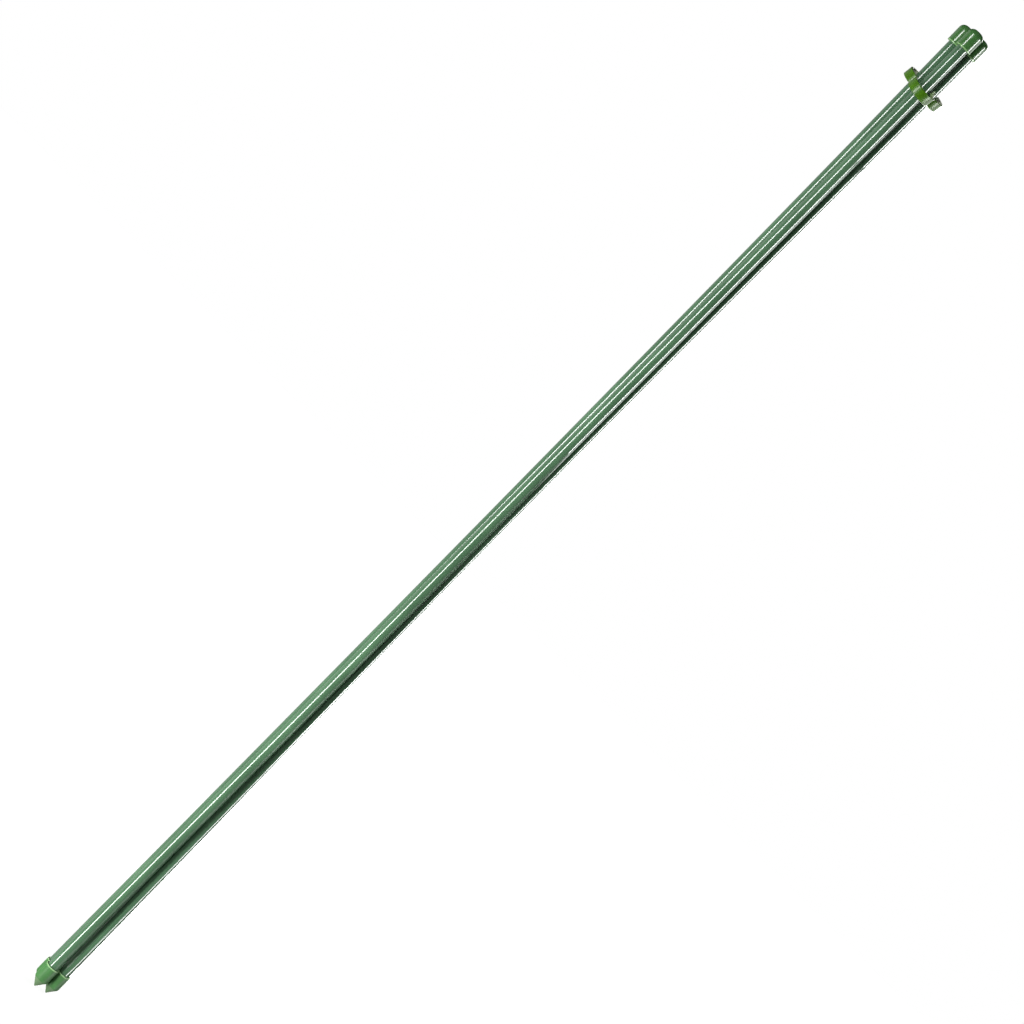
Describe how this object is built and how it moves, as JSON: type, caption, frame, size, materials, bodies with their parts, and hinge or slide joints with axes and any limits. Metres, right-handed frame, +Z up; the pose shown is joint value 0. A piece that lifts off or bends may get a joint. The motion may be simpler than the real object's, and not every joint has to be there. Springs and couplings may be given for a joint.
{
  "type": "conical plant support",
  "caption": "Folding cone for climbing plants: coated steel stakes with domed caps and pointed ground tips, gathered near the top by a loose lobed collar that lets them splay.",
  "frame": {"origin": "on the axis of the folded bundle, level with the point of the front stake's ground tip, where the support meets the soil", "axes": "+Z up along the stakes towards the caps, the front stake on the -Y side, +X to the right seen from the front"},
  "size_m": [0.0442, 0.0431, 1.2013],
  "materials": {
    "coating": "satin extruded polyethylene, grey green",
    "steel": "plain steel tube, hidden by the coating",
    "cap_plastic": "moulded polyethylene, mid green",
    "tip_plastic": "moulded polyethylene, lighter green",
    "collar_plastic": "moulded plastic, yellow green, glossy"
  },
  "bodies": {
    "collar": {"collar": "collar_plastic"},
    "front_leg": {"front_coating": "coating", "front_steel_core": "steel", "front_cap": "cap_plastic", "front_ground_tip": "tip_plastic"},
    "left_leg": {"left_coating": "coating", "left_steel_core": "steel", "left_cap": "cap_plastic", "left_ground_tip": "tip_plastic"},
    "right_leg": {"right_coating": "coating", "right_steel_core": "steel", "right_cap": "cap_plastic", "right_ground_tip": "tip_plastic"}
  },
  "joints": [
    {"name": "front_leg_splay", "type": "hinge", "parent": "collar", "child": "front_leg", "pos_m": [-0.00018, -0.00885, 1.1318], "axis": [0, 1, 0], "range_deg": [0, 9]},
    {"name": "left_leg_splay", "type": "hinge", "parent": "collar", "child": "left_leg", "pos_m": [-0.00759, 0.00488, 1.1318], "axis": [0.866, -0.5, 0], "range_deg": [0, 9]},
    {"name": "right_leg_splay", "type": "hinge", "parent": "collar", "child": "right_leg", "pos_m": [0.00767, 0.00435, 1.1318], "axis": [-0.866, -0.5, 0], "range_deg": [0, 9]}
  ],
  "couplings": [
    {"joint": "left_leg_splay", "follows": "front_leg_splay", "ratio": 1},
    {"joint": "right_leg_splay", "follows": "front_leg_splay", "ratio": 1}
  ]
}
